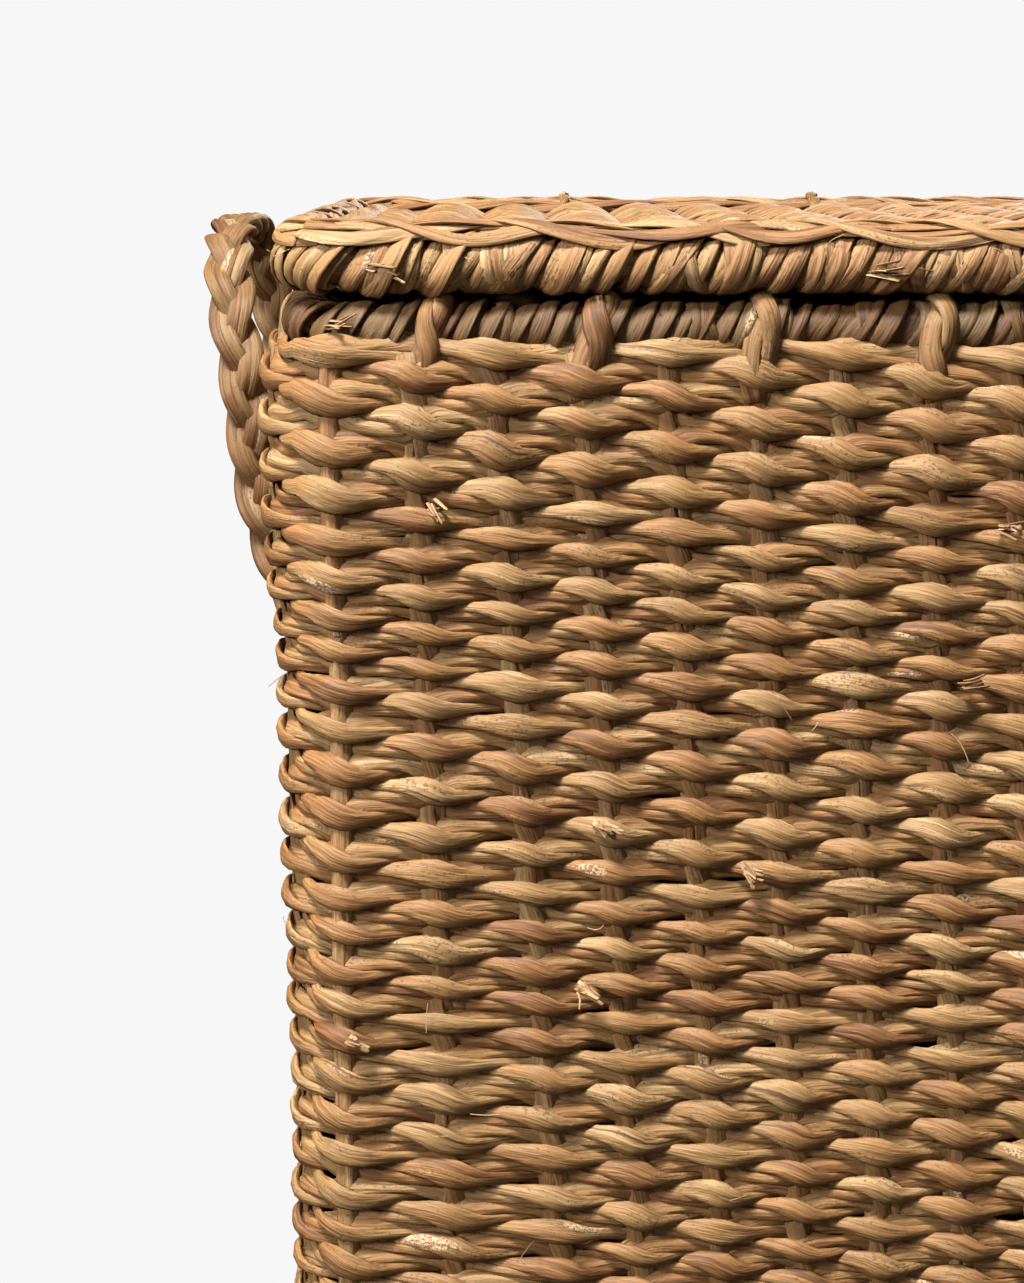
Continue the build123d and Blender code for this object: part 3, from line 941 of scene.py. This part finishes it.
class Nodes:
    """Short ways to add and join shader nodes."""

    def __init__(self, name):
        self.material = bpy.data.materials.new(name)
        self.material.use_nodes = True
        self.tree = self.material.node_tree
        self.shader = self.tree.nodes["Principled BSDF"]

    def join(self, source, target):
        self.tree.links.new(source, target)

    def add(self, kind, **settings):
        node = self.tree.nodes.new(kind)
        for key, value in settings.items():
            setattr(node, key, value)
        return node

    def attribute(self, name):
        return self.add("ShaderNodeAttribute", attribute_name=name).outputs["Vector"]

    def split(self, vector):
        node = self.add("ShaderNodeSeparateXYZ")
        self.join(vector, node.inputs[0])
        return node.outputs

    def scaled(self, vector, scale):
        node = self.add("ShaderNodeVectorMath", operation="MULTIPLY")
        self.join(vector, node.inputs[0])
        node.inputs[1].default_value = scale
        return node.outputs[0]

    def noise(self, vector, detail=3.0, roughness=0.55):
        node = self.add("ShaderNodeTexNoise")
        self.join(vector, node.inputs["Vector"])
        node.inputs["Scale"].default_value = 1.0
        node.inputs["Detail"].default_value = detail
        node.inputs["Roughness"].default_value = roughness
        return node.outputs["Fac"]

    def math(self, operation, first, second=0.5, third=None):
        node = self.add("ShaderNodeMath", operation=operation)
        for socket, value in zip(node.inputs, (first, second, third)):
            if value is None:
                continue
            if isinstance(value, (int, float)):
                socket.default_value = value
            else:
                self.join(value, socket)
        return node.outputs[0]

    def between(self, value, low, high, low_out=0.0, high_out=1.0):
        node = self.add("ShaderNodeMapRange")
        self.join(value, node.inputs["Value"])
        node.inputs["From Min"].default_value = low
        node.inputs["From Max"].default_value = high
        node.inputs["To Min"].default_value = low_out
        node.inputs["To Max"].default_value = high_out
        return node.outputs["Result"]

    def ramp(self, value, stops):
        node = self.add("ShaderNodeValToRGB")
        self.join(value, node.inputs["Fac"])
        elements = node.color_ramp.elements
        while len(elements) < len(stops):
            elements.new(0.5)
        for element, (place, colour) in zip(elements, stops):
            element.position = place
            element.color = (*colour, 1.0)
        return node.outputs["Color"]

    def mix(self, share, first, second, blend="MIX"):
        node = self.add("ShaderNodeMix", data_type="RGBA", blend_type=blend)
        if isinstance(share, (int, float)):
            node.inputs[0].default_value = share
        else:
            self.join(share, node.inputs[0])
        for socket, value in ((node.inputs[6], first), (node.inputs[7], second)):
            if isinstance(value, tuple):
                socket.default_value = (*value, 1.0)
            else:
                self.join(value, socket)
        return node.outputs[2]

    def bump(self, height, strength, distance):
        node = self.add("ShaderNodeBump")
        node.inputs["Strength"].default_value = strength
        node.inputs["Distance"].default_value = distance
        self.join(height, node.inputs["Height"])
        self.join(node.outputs[0], self.shader.inputs["Normal"])


LEAF_TONES = (
    (0.0, (0.25, 0.100, 0.034)),
    (0.2, (0.43, 0.192, 0.066)),
    (0.45, (0.56, 0.280, 0.098)),
    (0.62, (0.49, 0.275, 0.104)),
    (0.80, (0.63, 0.358, 0.142)),
    (1.0, (0.75, 0.480, 0.230)),
)


def leaf_material(name, brightness=0.46, pale=0.0):
    """Dried seagrass leaf: lengthwise fibres, fold lines darkened with painted shade, dark specks and a
    soft gloss.
    """
    n = Nodes(name)
    leaf = n.attribute("leaf")
    tone, fold, bleach = n.split(n.attribute("tone"))
    patches = n.noise(n.scaled(leaf, (22, 160, 160)), detail=2.0)
    fibres = n.noise(n.scaled(leaf, (50, 1700, 1700)), detail=3.0, roughness=0.7)
    streaks = n.noise(n.scaled(leaf, (14, 620, 620)), detail=2.0)
    specks = n.noise(n.scaled(leaf, (900, 1300, 1300)), detail=1.0)
    wide_tone = n.math("MULTIPLY_ADD", patches, 0.9, -0.45)
    shade = n.math("ADD", tone, wide_tone)
    shade = n.math("ADD", shade, n.between(streaks, 0.3, 0.7, -0.26, 0.26))
    colour = n.ramp(shade, LEAF_TONES)
    bleach_share = n.math("ADD", bleach, pale)
    colour = n.mix(bleach_share, colour, (0.78, 0.60, 0.38))
    light = n.between(fibres, 0.3, 0.7, 0.55 * brightness, 1.24 * brightness)
    grey = n.add("ShaderNodeCombineColor")
    for socket in grey.inputs[:3]:
        n.join(light, socket)
    colour = n.mix(1.0, colour, grey.outputs[0], "MULTIPLY")
    dark_line = n.between(streaks, 0.39, 0.33)
    colour = n.mix(n.math("MULTIPLY", dark_line, 0.6), colour, (0.10, 0.045, 0.02))
    speck = n.between(n.math("MULTIPLY_ADD", patches, 0.6, specks), 0.97, 1.02)
    colour = n.mix(n.math("MULTIPLY", speck, 0.75), colour, (0.09, 0.04, 0.02))
    pith = n.between(n.noise(n.scaled(leaf, (26, 120, 120)), detail=1.0), 0.72, 0.75)
    crumbs = n.noise(n.scaled(leaf, (1400, 1400, 1400)), detail=1.0)
    crumbly = n.ramp(crumbs, ((0.38, (0.13, 0.06, 0.03)), (0.62, (0.52, 0.36, 0.20))))
    colour = n.mix(n.math("MULTIPLY", pith, 0.8), colour, crumbly)
    # Painted shade: the colour darkens along the fold grooves, where shade falls.
    fold_painted_shade = n.between(fold, 0.66, 0.92, 0.0, 0.9)
    colour = n.mix(fold_painted_shade, colour, (0.075, 0.032, 0.014))
    n.join(colour, n.shader.inputs["Base Color"])
    n.join(n.between(fibres, 0.2, 0.8, 0.46, 0.66), n.shader.inputs["Roughness"])
    n.shader.inputs["Specular IOR Level"].default_value = 0.25
    wrinkles = n.noise(n.scaled(leaf, (90, 420, 420)), detail=2.0)
    n.bump(n.math("MULTIPLY_ADD", fibres, 0.35, wrinkles), 0.8, 1.1 * MM)
    return n.material


def rod_material():
    """Plain bent cane, seen only between turns of the winding."""
    n = Nodes("cane_rod")
    place = n.add("ShaderNodeTexCoord").outputs["Object"]
    grain = n.noise(n.scaled(place, (160, 160, 160)), detail=4.0)
    colour = n.ramp(grain, ((0.3, (0.16, 0.09, 0.045)), (0.7, (0.30, 0.18, 0.09))))
    n.join(colour, n.shader.inputs["Base Color"])
    n.join(n.between(grain, 0.2, 0.8, 0.55, 0.75), n.shader.inputs["Roughness"])
    n.bump(grain, 1.0, 0.5 * MM)
    return n.material


# -------- studio


BACKGROUND = (0.931, 0.931, 0.931, 1)
CAMERA_LENS = 64.536         # in mm, with a 36 mm sensor


def floor_sheet(name, half_x, half_y, z, material):
    """A flat rectangle of the studio, which is no part of the basket."""
    mesh = bpy.data.meshes.new(name)
    corners = ((-half_x, -half_y), (half_x, -half_y), (half_x, half_y), (-half_x, half_y))
    mesh.from_pydata([(x, y, z) for x, y in corners], [], [(0, 1, 2, 3)])
    mesh.materials.append(material)
    add_object(name, mesh)


def plain_floor():
    """A floor as bright as the background, so that no horizon shows."""
    n = Nodes("studio_floor")
    glow = n.add("ShaderNodeEmission")
    glow.inputs["Color"].default_value = BACKGROUND
    seen = n.add("ShaderNodeLightPath").outputs["Is Camera Ray"]
    n.join(n.between(seen, 0.0, 1.0, 0.04, 1.0), glow.inputs["Strength"])
    n.join(glow.outputs[0], n.tree.nodes["Material Output"].inputs["Surface"])
    floor_sheet("floor", 30.0, 30.0, -0.5 * MM, n.material)
    shade_under_basket()


def shade_under_basket():
    """A dark sheet on the floor where the basket stands: painted shadow under the basket."""
    n = Nodes("floor_shade")
    n.shader.inputs["Base Color"].default_value = (0.01, 0.008, 0.006, 1)
    n.shader.inputs["Roughness"].default_value = 1.0
    floor_sheet("shade", RING_X - 10 * MM, RING_Y - 10 * MM, -0.3 * MM, n.material)


def area_light(name, place, target, size, power):
    data = bpy.data.lights.new(name, "AREA")
    data.shape = "RECTANGLE"
    data.size, data.size_y = size
    data.energy = power
    light = add_object(name, data)
    light.location = place
    light.rotation_euler = (Vector(target) - Vector(place)).to_track_quat("-Z", "Y").to_euler()


def studio():
    world = bpy.data.worlds.new("studio")
    bpy.context.scene.world = world
    world.use_nodes = True
    tree = world.node_tree
    back = tree.nodes["Background"]
    back.inputs["Color"].default_value = BACKGROUND
    light = tree.nodes.new("ShaderNodeLightPath")
    strength = tree.nodes.new("ShaderNodeMapRange")
    strength.inputs["To Min"].default_value = 0.03
    strength.inputs["To Max"].default_value = 1.0
    tree.links.new(light.outputs["Is Camera Ray"], strength.inputs["Value"])
    tree.links.new(strength.outputs["Result"], back.inputs["Strength"])
    area_light("above", (-0.75, -0.95, 2.5), (-0.1, -0.1, 0.4), (0.5, 0.5), 166)
    area_light("left", (-1.9, -1.3, 1.3), (-0.1, -0.1, 0.4), (0.5, 0.5), 66)
    area_light("front", (0.2, -2.4, 1.3), (0, 0, 0.3), (0.6, 0.6), 10)
    area_light("back", (0.7, 2.4, 1.5), (0, 0, 0.3), (1.0, 1.0), 36)
    area_light("right", (2.4, 0.4, 1.4), (0, 0, 0.3), (1.0, 1.0), 36)


def camera():
    """Close to the front's left part, a little above the lid and pitched down."""
    data = bpy.data.cameras.new("camera")
    data.sensor_width = 36.0
    data.lens = CAMERA_LENS
    view = add_object("camera", data)
    outside = 7.8 * MM
    right_of_corner = 77.3 * MM
    stand_off = 690 * MM
    above_lid = 35 * MM
    pitch_down = 12.2
    x = -(WALL_X + outside) + right_of_corner
    view.location = (x, -(WALL_Y + outside) - stand_off, LID_Z + above_lid)
    view.rotation_euler = (math.radians(90 - pitch_down), 0, 0)
    bpy.context.scene.camera = view


# -------- the object


def materials():
    return {
        "weft": leaf_material("seagrass_weft_leaf"),
        "stake": leaf_material("seagrass_stake_leaf", brightness=0.38),
        "wrap": leaf_material("seagrass_wrap_leaf", brightness=0.5, pale=0.05),
        # The border leaf is darkened as painted shade, for the lid's shadow over the rim; the foot
        # winding wears the same darkened leaf.
        "border": leaf_material("seagrass_border_leaf_painted_shade", brightness=0.21),
        "plait": leaf_material("seagrass_plait_leaf", brightness=0.32),
        "cord": leaf_material("seagrass_thin_cord", brightness=0.36),
        "rod": rod_material(),
    }


def basket(looks):
    wall_weft(looks["weft"])
    wall_stakes(looks["stake"])
    corner_posts(looks["wrap"])
    # The rim and foot windings wear the border leaf, darkened as painted shade.
    rim_winding(looks["border"])
    rim_stake_bindings(looks["stake"])
    foot_winding(looks["border"])
    base_panel(looks["weft"], looks["stake"])
    wall_ends(looks["wrap"])
    for side in ("left", "right"):
        plait(looks["plait"], side)
        handle_knots(looks["plait"], side)


def lid(looks):
    lid_panel(looks["weft"], looks["stake"])
    lid_winding(looks["wrap"])
    lid_long_strands(looks["wrap"])
    lid_ends(looks["wrap"])
    for place in ("left", "middle", "right"):
        hinge_loop(looks["cord"], place)


def rods(material):
    """The bent rods are the frame's own solids, with a cane look."""
    for name in ("base_frame_ring", "rim_frame_ring", "lid_frame_ring"):
        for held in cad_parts[name].material_slots:
            held.material = material


bpy.context.scene.view_settings.view_transform = "Standard"
looks = materials()
basket(looks)
lid(looks)
rods(looks["rod"])
plain_floor()
studio()
camera()
